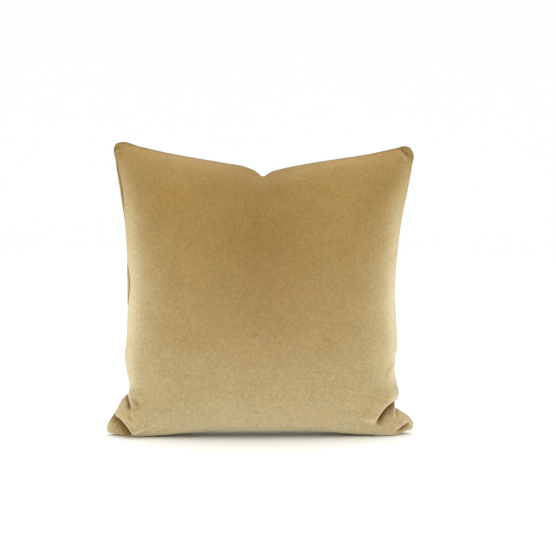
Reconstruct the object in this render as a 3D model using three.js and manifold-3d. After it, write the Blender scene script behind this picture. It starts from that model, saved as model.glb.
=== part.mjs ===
// A square knife-edge throw pillow, standing on its bottom edge: velvet cover with a zip in the bottom
// seam, and inside it a down-proof cotton insert with a loose feather and down fill.
// Millimetres. +X is to the right of someone facing the front, -Y is the front, +Z is up. The origin is on
// the surface that the pillow stands on, under the middle of the bottom seam.
import * as THREE from "three";
import { mergeVertices } from "three/addons/utils/BufferGeometryUtils.js";
import Module from "manifold-3d";

const wasm = await Module();
wasm.setup();

// ---------------------------------------------------------------- driving dimensions
// The filled outline, seen from the front.
const HEIGHT = 478; // floor to the tips of the top corners
const TOP_HALF_WIDTH = 243; // middle to the tip of a top corner
const BOTTOM_HALF_WIDTH = 250; // middle to the tip of a bottom corner, which splays out on the floor
const WAIST = 29; // how far the fill pulls each side seam in at half height
const TOP_DIP = 36; // how far the fill pulls the top seam down in its middle
const CHOP_DEPTH = 18; // the hand-made notch in the middle of the top seam
const CHOP_HALF_WIDTH = 26;
const DEPTH = 190; // front to back at the fullest point
const FULLNESS = 0.45; // exponent of the cushion's cross-section: 0.5 is an ellipse, less is fuller

// The bottom, which carries the weight.
const SEAM_HEIGHT = 20; // bottom seam above the floor, straight along the zip
const CORNER_HEIGHT = 4; // tips of the bottom corners above the floor
const BELLY_DROP = 22; // strength of the roll of filling on each side of the bottom seam
const BELLY_REACH = 0.05; // where that roll hangs lowest, as a share of the half height
const FOOT_DROP = 27; // the extra drop of the roll near the corners, where the pillow stands
const FOOT_X = 210; // middle of each foot
const FOOT_HALF_LENGTH = 26;

// Cloth.
const VELVET = 2.4; // backing and pile
const TICKING = 0.9; // insert casing
const SEAM_ALLOWANCE = 12;
const ALLOWANCE_THICKNESS = 1;
const INSERT_ALLOWANCE = 8;
const INSERT_INSET = 10; // how far the insert's seam lies inside the cover's turned-in allowance
const LAYER_GAP = 0.9; // between the cover, the insert and the fill
const FILL_SETBACK = 4; // of the filling from the insert's turned-in allowance
const THREAD_RADIUS = 0.3;
const CLEARANCE = 0.3; // between pieces that touch

// Zip.
const ZIP_TAPE_LENGTH = 360;
const TAPE_THICKNESS = 0.6;
const TAPE_HEIGHT = 11.4;
const TAPE_END = 9; // tape beyond each stop
const COIL_PITCH = 4;
const COIL_HEIGHT = 2.2;
const COIL_HALF_WIDTH = 2.3;
const COIL_TOOTH = 1.1; // how far the teeth of a row reach past the middle
const LIP_HALF_GAP = 1.05; // half the slot between the two folded velvet edges
const LIP_HEIGHT = 1.2;
const SLIDER_LENGTH = 11;
const SLIDER_WALL = 0.8;
const SLIDER_ROOF = 1.2;
const SLIDER_PLATE = 1.2;
const SLIDER_PLATE_DROP = 1.9; // below the seam's edge, clear of the cloth on each side
const SLIDER_PLATE_HALF_WIDTH = 2;
const NECK_LENGTH = 2.6;
const NECK_HALF_WIDTH = 0.6;
const STOP_LENGTH = 2.5;
const STOP_HEIGHT = 2;
const BRIDGE_HALF_LENGTH = 4;
const BRIDGE_HALF_WIDTH = 0.8;
const BRIDGE_WINDOW = 2.4;
const BRIDGE_BAR = 1;
const PULL_LENGTH = 13; // from its pivot to its end
const PULL_THICKNESS = 1;
const PULL_HALF_WIDTH = 2.5;
const PULL_WAIST_HALF_WIDTH = 1.7;
const PULL_PIVOT_RADIUS = 0.6;
const PULL_EYE_LENGTH = 6.2;

// Care label.
const LABEL_THICKNESS = 0.5;
const LABEL_WIDTH = 7;
const LABEL_LENGTH = 34;
const LABEL_SETBACK = 1.5; // of its inner edge outside the insert's side seam
const LABEL_HEIGHT_ABOVE_FLOOR = 120;

// Facets.
const COVER_COLUMNS = 20;
const COVER_ROWS = 18;
const INSERT_COLUMNS = 20;
const INSERT_ROWS = 18;
const FILL_CELLS = 18;
const THREAD_SIDES = 6;

// ---------------------------------------------------------------- materials
const material = (color, roughness, metalness = 0) =>
  new THREE.MeshStandardMaterial({ color, roughness, metalness });
const velvet = material(0xb3945f, 0.9);
const velvetBack = material(0xb3945f, 0.9);
const thread = material(0xa68a55, 0.7);
const ticking = material(0xf1ece0, 0.85);
const down = material(0xf7f5ef, 1);
const zipTape = material(0xb09a6c, 0.85);
const zipCoil = material(0xa8905c, 0.4);
const zipMetal = material(0x8c7a55, 0.35, 0.9);
const satin = material(0xf4f2ec, 0.5);

const pillow = new THREE.Group();
function add(name, geometry, mat) {
  const mesh = new THREE.Mesh(geometry, mat);
  mesh.name = name;
  pillow.add(mesh);
  return mesh;
}

// ---------------------------------------------------------------- booleans
function solid(geometry) {
  const bare = geometry.index ? geometry.toNonIndexed() : geometry.clone();
  bare.deleteAttribute("normal");
  bare.deleteAttribute("uv");
  const merged = mergeVertices(bare, 1e-4);
  return new wasm.Manifold(new wasm.Mesh({
    numProp: 3,
    vertProperties: merged.attributes.position.array,
    triVerts: new Uint32Array(merged.index.array),
  }));
}
function geometryOf(made) {
  const { vertProperties, triVerts } = made.getMesh();
  return new THREE.BufferGeometry()
    .setAttribute("position", new THREE.BufferAttribute(vertProperties, 3))
    .setIndex(new THREE.BufferAttribute(triVerts, 1));
}
const block = (x0, x1, y0, y1, z0, z1) =>
  new THREE.BoxGeometry(x1 - x0, y1 - y0, z1 - z0)
    .translate((x0 + x1) / 2, (y0 + y1) / 2, (z0 + z1) / 2);
const joined = (...parts) => parts.map(solid).reduce((a, b) => a.add(b));
const mirrored = (geometry) => geometryOf(solid(geometry).mirror([0, 1, 0])); // front to back

// ---------------------------------------------------------------- the cushion's surface
const smooth = (from, to, x) => {
  const t = Math.min(1, Math.max(0, (x - from) / (to - from)));
  return t * t * (3 - 2 * t);
};
const bump = (x, middle, half) => Math.exp(-(((x - middle) / half) ** 2));

// The zip's pocket runs past the tape's ends, and is measured on the cover's outer edge.
const POCKET_HALF_WIDTH =
  COIL_HALF_WIDTH + SLIDER_WALL + 3 * CLEARANCE + TAPE_THICKNESS; // inside faces of the allowances
const POCKET_END =
  ((ZIP_TAPE_LENGTH / 2 + 2) * BOTTOM_HALF_WIDTH) / (BOTTOM_HALF_WIDTH - SEAM_ALLOWANCE - 1);
const SEWN_START = POCKET_END + 14;
const SEWN_HALF_GAP = THREAD_RADIUS + CLEARANCE; // the panels' faces on each side of the seam thread

// Whether the seam at x on the bottom edge is a zip (1) or sewn (0).
const zipped = (x) => 1 - smooth(POCKET_END, SEWN_START, Math.abs(x));

const halfWidth = (v) =>
  (TOP_HALF_WIDTH + BOTTOM_HALF_WIDTH) / 2 +
  (v * (TOP_HALF_WIDTH - BOTTOM_HALF_WIDTH)) / 2 -
  WAIST * (1 - v * v);
const topEdge = (x) => HEIGHT - TOP_DIP * (1 - (x / TOP_HALF_WIDTH) ** 2);
const bottomEdge = (x) =>
  SEAM_HEIGHT - (SEAM_HEIGHT - CORNER_HEIGHT) * smooth(POCKET_END, BOTTOM_HALF_WIDTH, Math.abs(x));

// A point of the cushion's middle plane. u and v run from -1 to 1 across and up, and inset moves the
// point in from the seam on all four sides.
function inPlane(u, v, inset) {
  const top = topEdge(u * (TOP_HALF_WIDTH - inset));
  const bottom = bottomEdge(u * (BOTTOM_HALF_WIDTH - inset));
  const x = u * (halfWidth(v) - inset);
  const t = 1 + v;
  const roll = (t / BELLY_REACH) * Math.exp(1 - t / BELLY_REACH) * (1 - u ** 10);
  const foot = FOOT_DROP * bump(Math.abs(x), FOOT_X, FOOT_HALF_LENGTH);
  const chop = CHOP_DEPTH * bump(x, 0, CHOP_HALF_WIDTH) * (t / 2) ** 3;
  const z = (top + bottom) / 2 + v * ((top - bottom) / 2 - inset);
  return [x, z - (BELLY_DROP + foot) * roll - chop];
}

// A point of a layer: side is -1 in front and 1 behind. The layer lies depthInset inside the outer
// velvet, its own seam lies inset inside the cover's seam, and edge is its distance from the middle
// plane there.
function onLayer(u, v, side, { inset, depthInset, edge }) {
  const [x, z] = inPlane(u, v, inset);
  const full = (DEPTH / 2 - depthInset) * ((1 - u * u) * (1 - v * v)) ** FULLNESS;
  return [x, side * Math.hypot(edge(u, v), full), Math.max(z, depthInset)];
}

// Grid lines crowded towards the seams, with extra ones where the zip's pocket ends.
function lines(count, extra = []) {
  const even = Array.from({ length: count + 1 }, (_, i) => -Math.cos((Math.PI * i) / count));
  const both = extra.flatMap((x) => [-x, x]);
  const kept = even.filter((a) => both.every((b) => Math.abs(a - b) > 0.02));
  return [...kept, ...both].sort((a, b) => a - b);
}

// Collects points and faces, and makes one closed geometry of them.
class Skin {
  points = [];
  faces = [];

  point(p) {
    this.points.push(...p);
    return this.points.length / 3 - 1;
  }

  quad(a, b, c, d) {
    this.faces.push(a, b, c, a, c, d);
  }

  // A grid of points, faced towards -Y when front is true. Returns the rows of point numbers.
  grid(us, vs, at, front) {
    const rows = vs.map((v) => us.map((u) => this.point(at(u, v))));
    for (let j = 0; j + 1 < vs.length; j++)
      for (let i = 0; i + 1 < us.length; i++) {
        const corners = [rows[j][i], rows[j][i + 1], rows[j + 1][i + 1], rows[j + 1][i]];
        this.quad(...(front ? corners : corners.reverse()));
      }
    return rows;
  }

  // Joins two loops of the same length. The first one is outside when seen from the front.
  band(outer, inner, closed = true) {
    const n = outer.length;
    for (let i = 0; i < (closed ? n : n - 1); i++) {
      const j = (i + 1) % n;
      this.quad(outer[i], inner[i], inner[j], outer[j]);
    }
  }

  geometry() {
    return new THREE.BufferGeometry()
      .setAttribute("position", new THREE.Float32BufferAttribute(this.points, 3))
      .setIndex(this.faces);
  }
}

// The parameters of a grid's rim, anticlockwise from its bottom left corner, seen from the front.
function rim(us, vs) {
  const [u0, u1, v0, v1] = [us[0], us.at(-1), vs[0], vs.at(-1)];
  return [
    ...us.slice(0, -1).map((u) => [u, v0]),
    ...vs.slice(0, -1).map((v) => [u1, v]),
    ...us.slice(1).reverse().map((u) => [u, v1]),
    ...vs.slice(1).reverse().map((v) => [u0, v]),
  ];
}
function rimOf(rows) {
  return [
    ...rows[0].slice(0, -1),
    ...rows.slice(0, -1).map((r) => r.at(-1)),
    ...rows.at(-1).slice(1).reverse(),
    ...rows.slice(1).reverse().map((r) => r[0]),
  ];
}

// One panel of a casing with its turned-in seam allowance. lip and pocket are the distances of its edge
// and of its allowance from the middle plane.
function panel(side, us, vs, { inset, depthInset, cloth, allowance, allowanceCloth, lip, pocket }) {
  const skin = new Skin();
  const outer = skin.grid(
    us, vs, (u, v) => onLayer(u, v, -1, { inset, depthInset, edge: lip }), true);
  const inner = skin.grid(
    us, vs,
    (u, v) => onLayer(u, v, -1, {
      inset: inset + cloth,
      depthInset: depthInset + cloth,
      edge: (a, b) => pocket(a, b) + allowanceCloth,
    }),
    false);
  const around = rim(us, vs);
  const loop = (depth, y) =>
    around.map(([u, v]) => {
      const [x, z] = inPlane(u, v, inset + depth);
      return skin.point([x, -y(u, v), Math.max(z, depthInset)]);
    });
  const loops = [
    rimOf(outer),
    loop(LIP_HEIGHT, lip),
    loop(LIP_HEIGHT + 0.1, pocket),
    loop(allowance, pocket),
    loop(allowance, (u, v) => pocket(u, v) + allowanceCloth),
    rimOf(inner),
  ];
  for (let k = 0; k + 1 < loops.length; k++) skin.band(loops[k], loops[k + 1]);
  return side > 0 ? mirrored(skin.geometry()) : skin.geometry();
}

// A ring of points around the seam at a depth inside it, swept with a closed profile of [depth, y] pairs.
function alongSeam(path, profile) {
  const skin = new Skin();
  const sections = path.map(([u, v]) =>
    profile.map(([depth, y]) => {
      const [x, z] = inPlane(u, v, depth);
      return skin.point([x, y, z]);
    }));
  const n = profile.length;
  for (let k = 0; k + 1 < sections.length; k++)
    for (let i = 0; i < n; i++) {
      const j = (i + 1) % n;
      skin.quad(sections[k][i], sections[k + 1][i], sections[k + 1][j], sections[k][j]);
    }
  const contour = profile.map(([d, y]) => new THREE.Vector2(d, y));
  const caps = THREE.ShapeUtils.triangulateShape(contour, []);
  for (const [a, b, c] of caps) {
    skin.faces.push(sections[0][a], sections[0][b], sections[0][c]);
    skin.faces.push(sections.at(-1)[c], sections.at(-1)[b], sections.at(-1)[a]);
  }
  return skin.geometry();
}
const circle = (depth, y, radius, sides) =>
  Array.from({ length: sides }, (_, i) => {
    const a = (2 * Math.PI * i) / sides;
    return [depth + radius * Math.cos(a), y + radius * Math.sin(a)];
  });

// ---------------------------------------------------------------- velvet cover
const coverColumns = lines(COVER_COLUMNS, [
  POCKET_END / BOTTOM_HALF_WIDTH,
  SEWN_START / BOTTOM_HALF_WIDTH,
]);
const coverRows = lines(COVER_ROWS);
// The zip only widens the seam next to the bottom edge.
const nearZip = (u, v) => zipped(u * BOTTOM_HALF_WIDTH) * bump(v, -1, BELLY_REACH);
const cover = {
  inset: 0,
  depthInset: 0,
  cloth: VELVET,
  allowance: SEAM_ALLOWANCE,
  allowanceCloth: ALLOWANCE_THICKNESS,
  lip: (u, v) => SEWN_HALF_GAP + (LIP_HALF_GAP - SEWN_HALF_GAP) * nearZip(u, v),
  pocket: (u, v) =>
    SEWN_HALF_GAP + CLEARANCE / 2 +
    (POCKET_HALF_WIDTH - SEWN_HALF_GAP - CLEARANCE / 2) * nearZip(u, v),
};
add("cover_front_panel", panel(-1, coverColumns, coverRows, cover), velvet);
add("cover_back_panel", panel(1, coverColumns, coverRows, cover), velvetBack);

// The seam's path: from the zip's right end round the bottom right corner, over the top and down to the
// zip's left end.
function seamPath(columns, rows, fromZip) {
  const start = fromZip ? columns.filter((u) => u >= SEWN_START / BOTTOM_HALF_WIDTH) : [1];
  const right = start.map((u) => [u, -1]);
  const up = rows.slice(1).map((v) => [1, v]);
  const across = columns.slice(0, -1).reverse().map((u) => [u, 1]);
  const downward = rows.slice(0, -1).reverse().map((v) => [-1, v]);
  const left = start.slice(0, -1).reverse().map((u) => [-u, -1]);
  return [...right, ...up, ...across, ...downward, ...left];
}
const coverSeam = seamPath(coverColumns, coverRows, true);
add(
  "cover_seam_thread",
  alongSeam(coverSeam, circle(1.5, 0, THREAD_RADIUS, THREAD_SIDES)),
  thread,
);

// The overlock stitching binds both allowances' raw edges on the three sewn sides.
const OVERLOCK_INSIDE = SEWN_HALF_GAP + CLEARANCE / 2 + ALLOWANCE_THICKNESS + CLEARANCE;
const OVERLOCK_THICKNESS = 0.5;
const OVERLOCK_WIDTH = 4.5;
const overlockFloor = SEAM_ALLOWANCE + CLEARANCE;
add(
  "cover_overlock_stitching",
  alongSeam(coverSeam.filter(([, v]) => v > -0.97), [
    [overlockFloor - OVERLOCK_WIDTH, -OVERLOCK_INSIDE],
    [overlockFloor - OVERLOCK_WIDTH, -OVERLOCK_INSIDE - OVERLOCK_THICKNESS],
    [overlockFloor + OVERLOCK_THICKNESS, -OVERLOCK_INSIDE - OVERLOCK_THICKNESS],
    [overlockFloor + OVERLOCK_THICKNESS, OVERLOCK_INSIDE + OVERLOCK_THICKNESS],
    [overlockFloor - OVERLOCK_WIDTH, OVERLOCK_INSIDE + OVERLOCK_THICKNESS],
    [overlockFloor - OVERLOCK_WIDTH, OVERLOCK_INSIDE],
    [overlockFloor, OVERLOCK_INSIDE],
    [overlockFloor, -OVERLOCK_INSIDE],
  ]),
  thread,
);

// ---------------------------------------------------------------- insert
const insertInset = SEAM_ALLOWANCE + INSERT_INSET;
const insertColumns = lines(INSERT_COLUMNS);
const insertRows = lines(INSERT_ROWS);
const insert = {
  inset: insertInset,
  depthInset: VELVET + LAYER_GAP,
  cloth: TICKING,
  allowance: INSERT_ALLOWANCE,
  allowanceCloth: TICKING,
  lip: () => SEWN_HALF_GAP,
  pocket: () => SEWN_HALF_GAP + CLEARANCE / 2,
};
add("insert_front_panel", panel(-1, insertColumns, insertRows, insert), ticking);
add("insert_back_panel", panel(1, insertColumns, insertRows, insert), ticking);
const insertSeam = [...rim(insertColumns, insertRows)];
add(
  "insert_seam_thread",
  alongSeam(insertSeam, circle(insertInset + 1.5, 0, THREAD_RADIUS, THREAD_SIDES)),
  ticking,
);

function fill() {
  const skin = new Skin();
  const layer = {
    inset: insertInset + INSERT_ALLOWANCE + FILL_SETBACK,
    depthInset: insert.depthInset + TICKING + LAYER_GAP,
    edge: () => 0,
  };
  const cells = lines(FILL_CELLS);
  skin.grid(cells, cells, (u, v) => onLayer(u, v, -1, layer), true);
  skin.grid(cells, cells, (u, v) => onLayer(u, v, 1, layer), false);
  return mergeVertices(skin.geometry(), 1e-4);
}
add("insert_feather_fill", fill(), down);

// ---------------------------------------------------------------- zip
// Heights above the bottom seam's edge, and the chain's ends.
const lipTop = SEAM_HEIGHT + LIP_HEIGHT + 0.1 + CLEARANCE;
const tapeShelf = lipTop + TAPE_THICKNESS;
const coilFloor = tapeShelf + CLEARANCE;
const coilTop = coilFloor + COIL_HEIGHT;
const tapeEnd = ZIP_TAPE_LENGTH / 2;
const stopEnd = tapeEnd - TAPE_END;
const sliderX = stopEnd - STOP_LENGTH - CLEARANCE - SLIDER_LENGTH / 2; // middle of the slider, zip closed
const neckStart = sliderX + SLIDER_LENGTH / 2 - CLEARANCE - NECK_LENGTH;
const chainEnd = neckStart - CLEARANCE;
const chainStart = -stopEnd + STOP_LENGTH + CLEARANCE;

const tapeOuter = POCKET_HALF_WIDTH - CLEARANCE;
const tapeInner = tapeOuter - TAPE_THICKNESS;
const SHELF_HALF_GAP = 0.3; // between the two tapes' folded edges, under the chain
function tape() {
  const wall = block(-tapeEnd, tapeEnd, -tapeOuter, -tapeInner, lipTop, lipTop + TAPE_HEIGHT);
  const shelf = block(-tapeEnd, chainEnd, -tapeOuter, -SHELF_HALF_GAP, lipTop, tapeShelf);
  const openEnd = block(
    chainEnd - 1, tapeEnd, -tapeOuter, -NECK_HALF_WIDTH - CLEARANCE, lipTop, tapeShelf);
  return geometryOf(joined(wall, shelf, openEnd));
}
add("zipper_tape_front", tape(), zipTape);
add("zipper_tape_back", mirrored(tape()), zipTape);

// One row of the nylon coil: a strip with pointed teeth that mesh with the other row's.
function coilRow(side) {
  const teeth = Math.floor((chainEnd - chainStart) / COIL_PITCH);
  const length = teeth * COIL_PITCH;
  const from = chainEnd - length;
  const shift = side < 0 ? 0 : COIL_PITCH / 2;
  const shape = new THREE.Shape();
  const root = -COIL_TOOTH - CLEARANCE; // the valley between two teeth, short of the other row's tips
  shape.moveTo(from, -COIL_HALF_WIDTH);
  shape.lineTo(from + length, -COIL_HALF_WIDTH);
  shape.lineTo(from + length, root);
  for (let i = teeth - 1; i >= 0; i--) {
    const valley = from + i * COIL_PITCH + shift;
    const tip = valley + COIL_PITCH / 2;
    if (tip < from + length) shape.lineTo(tip, COIL_TOOTH);
    if (valley > from) shape.lineTo(valley, root);
  }
  shape.lineTo(from, root);
  const row = new THREE.ExtrudeGeometry(shape, { depth: COIL_HEIGHT, bevelEnabled: false });
  row.translate(0, 0, coilFloor);
  return side < 0 ? row : mirrored(row);
}
add("zipper_coil_front", coilRow(-1), zipCoil);
add("zipper_coil_back", coilRow(1), zipCoil);

const stopOuter = COIL_HALF_WIDTH + SLIDER_WALL + CLEARANCE;
const stopInner = NECK_HALF_WIDTH + 2 * CLEARANCE;
for (const [name, side] of [["front", -1], ["back", 1]]) {
  const [y0, y1] = side < 0 ? [-stopOuter, -stopInner] : [stopInner, stopOuter];
  add(
    `zipper_top_stop_${name}`,
    block(stopEnd - STOP_LENGTH, stopEnd, y0, y1, coilFloor, coilFloor + STOP_HEIGHT),
    zipMetal,
  );
}
add(
  "zipper_bottom_stop",
  block(-stopEnd, -stopEnd + STOP_LENGTH, -stopOuter, stopOuter, coilFloor, coilTop),
  zipMetal,
);

// The slider: a channel over the chain, a neck through the slot and a plate with a bridge outside.
const plateTop = SEAM_HEIGHT - SLIDER_PLATE_DROP;
const plateBottom = plateTop - SLIDER_PLATE;
const pivotZ = plateBottom - BRIDGE_WINDOW + CLEARANCE + PULL_PIVOT_RADIUS;
function slider() {
  const [x0, x1] = [sliderX - SLIDER_LENGTH / 2, sliderX + SLIDER_LENGTH / 2];
  const wallIn = COIL_HALF_WIDTH + CLEARANCE;
  const wallOut = wallIn + SLIDER_WALL;
  const roof = coilTop + CLEARANCE;
  const bridgeBottom = plateBottom - BRIDGE_WINDOW - BRIDGE_BAR;
  const legOut = BRIDGE_HALF_LENGTH;
  const legIn = legOut - BRIDGE_BAR - CLEARANCE;
  const bend = 0.8 * BRIDGE_BAR;
  const bridge = new THREE.Shape();
  bridge.moveTo(-legOut, plateBottom + 0.5);
  bridge.lineTo(-legOut, bridgeBottom + bend);
  bridge.quadraticCurveTo(-legOut, bridgeBottom, -legOut + bend, bridgeBottom);
  bridge.lineTo(legOut - bend, bridgeBottom);
  bridge.quadraticCurveTo(legOut, bridgeBottom, legOut, bridgeBottom + bend);
  bridge.lineTo(legOut, plateBottom + 0.5);
  bridge.lineTo(legIn, plateBottom + 0.5);
  bridge.lineTo(legIn, bridgeBottom + BRIDGE_BAR);
  bridge.lineTo(-legIn, bridgeBottom + BRIDGE_BAR);
  bridge.lineTo(-legIn, plateBottom + 0.5);
  const strap = new THREE.ExtrudeGeometry(bridge, {
    depth: 2 * BRIDGE_HALF_WIDTH, bevelEnabled: false, curveSegments: 4,
  })
    .rotateX(Math.PI / 2)
    .translate(sliderX, BRIDGE_HALF_WIDTH, 0);
  return geometryOf(joined(
    block(x0, x1, -wallOut, wallOut, roof, roof + SLIDER_ROOF),
    block(x0, x1, -wallOut, -wallIn, coilFloor, roof + 0.1),
    block(x0, x1, wallIn, wallOut, coilFloor, roof + 0.1),
    block(neckStart, neckStart + NECK_LENGTH, -NECK_HALF_WIDTH, NECK_HALF_WIDTH,
      plateTop - 0.1, roof + 0.1),
    block(x0 + 1, x1, -SLIDER_PLATE_HALF_WIDTH, SLIDER_PLATE_HALF_WIDTH, plateBottom, plateTop),
    strap,
  ));
}
add("zipper_slider", slider(), zipMetal);

// The pull tab hangs from its cross bar, which lies in the bridge's window.
function pull() {
  const tab = new THREE.Shape();
  const top = PULL_PIVOT_RADIUS;
  tab.moveTo(-PULL_HALF_WIDTH, top);
  tab.lineTo(-PULL_HALF_WIDTH, -PULL_EYE_LENGTH);
  tab.quadraticCurveTo(
    -PULL_WAIST_HALF_WIDTH, -PULL_EYE_LENGTH - 1.5,
    -PULL_HALF_WIDTH, -PULL_LENGTH + PULL_HALF_WIDTH);
  tab.absarc(0, -PULL_LENGTH + PULL_HALF_WIDTH, PULL_HALF_WIDTH, Math.PI, 2 * Math.PI);
  tab.quadraticCurveTo(
    PULL_WAIST_HALF_WIDTH, -PULL_EYE_LENGTH - 1.5, PULL_HALF_WIDTH, -PULL_EYE_LENGTH);
  tab.lineTo(PULL_HALF_WIDTH, top);
  const eye = new THREE.Path();
  const eyeHalf = BRIDGE_HALF_WIDTH + CLEARANCE;
  eye.moveTo(-eyeHalf, -top);
  eye.lineTo(eyeHalf, -top);
  eye.lineTo(eyeHalf, -PULL_EYE_LENGTH + 0.9);
  eye.lineTo(-eyeHalf, -PULL_EYE_LENGTH + 0.9);
  tab.holes.push(eye);
  return new THREE.ExtrudeGeometry(tab, {
    depth: PULL_THICKNESS, bevelEnabled: false, curveSegments: 6,
  })
    .translate(0, 0, -PULL_THICKNESS / 2)
    .rotateX(Math.PI / 2)
    .rotateZ(Math.PI / 2);
}
const pullTab = add("zipper_pull_tab", pull(), zipMetal);
pullTab.position.set(sliderX, 0, pivotZ);

// ---------------------------------------------------------------- care label
// A blank satin label, caught in the left side seam and lying on the front allowance inside the cover.
const labelY = -(OVERLOCK_INSIDE + OVERLOCK_THICKNESS + CLEARANCE);
const labelTop = LABEL_HEIGHT_ABOVE_FLOOR + LABEL_LENGTH;
const labelRow = (LABEL_HEIGHT_ABOVE_FLOOR - HEIGHT / 2) / (HEIGHT / 2 - insertInset);
const labelX = insertInset - halfWidth(labelRow) - LABEL_SETBACK - LABEL_WIDTH;
add(
  "care_label",
  block(labelX, labelX + LABEL_WIDTH, labelY - LABEL_THICKNESS, labelY,
    LABEL_HEIGHT_ABOVE_FLOOR, labelTop),
  satin,
);

export default pillow;
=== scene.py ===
import math

import bpy
import numpy as np
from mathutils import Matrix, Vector


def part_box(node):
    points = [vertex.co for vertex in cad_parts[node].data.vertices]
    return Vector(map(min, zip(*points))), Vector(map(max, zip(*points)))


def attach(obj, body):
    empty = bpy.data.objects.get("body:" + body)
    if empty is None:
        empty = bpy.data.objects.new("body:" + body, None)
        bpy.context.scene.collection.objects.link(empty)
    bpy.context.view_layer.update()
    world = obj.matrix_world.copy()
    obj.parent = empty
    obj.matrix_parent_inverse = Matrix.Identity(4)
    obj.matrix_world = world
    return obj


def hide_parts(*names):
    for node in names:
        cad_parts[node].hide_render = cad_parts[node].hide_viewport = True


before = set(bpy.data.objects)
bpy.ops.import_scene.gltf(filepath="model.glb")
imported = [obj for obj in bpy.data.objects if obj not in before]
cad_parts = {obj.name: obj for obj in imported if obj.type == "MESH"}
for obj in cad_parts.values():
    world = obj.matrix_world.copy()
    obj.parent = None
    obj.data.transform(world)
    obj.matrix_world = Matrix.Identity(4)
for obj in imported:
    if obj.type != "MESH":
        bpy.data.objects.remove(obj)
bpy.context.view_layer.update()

# A throw pillow: a velvet cover with a zip in its bottom seam, round an insert full of feathers. The
# cover's fullness is simulated. Its seam's course is listed point by point, and its folds are sculpted.

# ---------------------------------------------------------------- sizes, in metres
CUT = 0.508  # side of the sewn cover when it lies flat
DEPTH = 0.192  # front to back at the fullest point
VELVET = 0.0022
ALLOWANCE = 0.012  # cloth turned in behind the seam
ZIP_ALLOWANCE = 0.0009  # the little that is turned in where the zip's tape takes over
SEAM_STEP = 0.0006  # each cover panel's way out from the seam's middle
SEAM_SLIDE = 0.0055  # how far the left seam has rolled onto the front at most
ZIP_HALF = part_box("zipper_tape_front")[1][0]  # the tapes end this far from the middle
ZIP_LIP = 0.0006  # each edge's way out from the middle along the zip, beyond its own seam
TICKING = 0.0009  # the insert's cotton
LAYER_GAP = 0.0009
INSERT_INSET = 0.028  # the insert's seam inside the cover's
FLOOR_GAP = 0.0004  # nothing of the pillow comes nearer to the floor
SIM_CELLS = 72  # cloth cells along a side in the simulation
SIM_FRAMES = 26
FLAT_GAP = 0.001  # between the two flat squares that the cloth's rest lengths come from
SIM_GRAVITY = -0.2  # weaker than real, because the fill that carries the cloth isn't simulated
FINE_LINES = 220  # grid lines along a side of the finished panels


# ---------------------------------------------------------------- the seam's course
# Each side of the seam as [share of the cloth's side, across, up] in mm. The points were picked from
# the outline measured in the photo, and moved until the render's outline agreed with it.
LEFT_SIDE = [
    (0.00, -248, 1.5), (0.012, -251.5, 5), (0.03, -252, 12), (0.055, -249, 20), (0.08, -244, 28),
    (0.11, -237.5, 38), (0.14, -232, 49), (0.17, -225, 60), (0.195, -216, 69), (0.23, -215.5, 84),
    (0.27, -219.5, 104), (0.31, -222, 122), (0.40, -219, 166), (0.52, -217, 226), (0.64, -217.5, 287),
    (0.76, -221, 348), (0.88, -229, 410), (0.95, -235, 448), (0.985, -238, 469), (1.00, -234, 477),
]
RIGHT_SIDE = [
    (0.00, 248, 4), (0.012, 252.5, 8), (0.03, 253.5, 15), (0.06, 249, 23.5), (0.09, 241, 31),
    (0.12, 230.5, 37.5), (0.14, 223.5, 42), (0.155, 221, 47), (0.175, 224, 55), (0.20, 228, 66),
    (0.235, 226, 82), (0.275, 222, 106), (0.30, 222.5, 118), (0.34, 226, 140), (0.42, 225, 182),
    (0.53, 222.5, 236), (0.65, 226, 297), (0.77, 233, 355), (0.88, 243, 406), (0.95, 249, 442),
    (0.985, 251, 460), (1.00, 246.5, 469.5),
]
TOP_SIDE = [
    (0.00, -234, 477), (0.02, -224, 479.5), (0.07, -198, 473), (0.15, -160, 464), (0.25, -112, 455),
    (0.36, -58, 446), (0.44, -22, 439), (0.475, -6, 432), (0.50, 5, 424), (0.525, 17, 431),
    (0.56, 34, 436), (0.64, 74, 444), (0.75, 125, 452), (0.86, 178, 460), (0.95, 223, 469.5),
    (0.985, 239, 472.5), (1.00, 246.5, 469.5),
]
BOTTOM_SIDE = [
    (0.00, -248, 1.5), (0.03, -240, 2), (0.06, -231, 4), (0.09, -220, 3.5), (0.12, -208, 8),
    (0.16, -190, 16.5), (0.19, -176, 19.8), (0.22, -160, 20), (0.35, -80, 20), (0.50, 0, 20),
    (0.65, 80, 20), (0.78, 160, 20), (0.81, 176, 19.8), (0.84, 190, 16.5), (0.88, 208, 10),
    (0.92, 224, 5), (0.96, 237, 4.5), (1.00, 249, 4),
]


def through(points, at):
    """A smooth curve through points [share, across, up] in mm, read at shares, in metres."""
    p = np.array(points, float)
    t, xy = p[:, 0], p[:, 1:]
    slope = np.gradient(xy, t, axis=0)
    i = np.clip(np.searchsorted(t, at, side="right") - 1, 0, len(t) - 2)
    h = (t[i + 1] - t[i])[:, None]
    s = ((at - t[i]) / (t[i + 1] - t[i]))[:, None]
    a, b = xy[i], xy[i + 1]
    ma, mb = slope[i] * h, slope[i + 1] * h
    return (
        (2 * s**3 - 3 * s**2 + 1) * a
        + (s**3 - 2 * s**2 + s) * ma
        + (3 * s**2 - 2 * s**3) * b
        + (s**3 - s**2) * mb
    ) / 1000


def smooth(a, b, x):
    """0 below a, 1 above b, and an even step between them."""
    t = np.clip((x - a) / (b - a), 0, 1)
    return t * t * (3 - 2 * t)


def bump(x, middle, half):
    """A bell of height 1."""
    return np.exp(-(((x - middle) / half) ** 2))


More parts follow.
